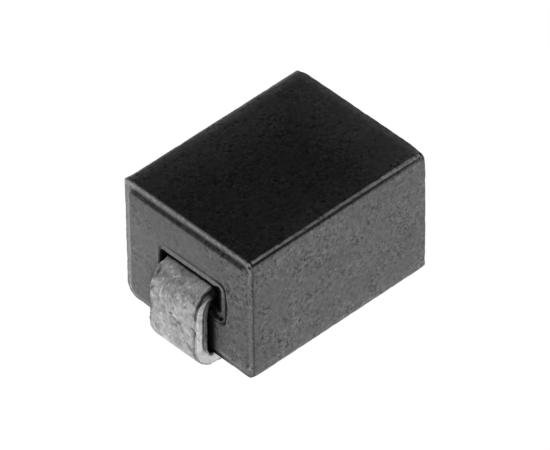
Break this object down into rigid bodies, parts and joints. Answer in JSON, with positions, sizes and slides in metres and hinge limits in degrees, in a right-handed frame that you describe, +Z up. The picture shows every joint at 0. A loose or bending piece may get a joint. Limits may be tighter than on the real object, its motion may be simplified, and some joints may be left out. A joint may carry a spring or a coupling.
{
  "type": "ferrite bead",
  "caption": "Surface-mount ferrite bead: pressed ferrite block with a slot, and a flat tinned strip through it that folds under each end as a solder foot.",
  "frame": {"origin": "middle of the footprint, on the board that the solder feet stand on", "axes": "+X along the slot and the strip, +Y across the block towards its well-rounded lower edge, +Z up from the board"},
  "size_m": [0.0048, 0.003, 0.0028],
  "materials": {
    "ferrite": "matt, pressed and fired",
    "tinned_copper": "matt tin over copper"
  },
  "bodies": {
    "root": {"ferrite_core": "ferrite", "conductor_strip": "tinned_copper"}
  },
  "joints": []
}
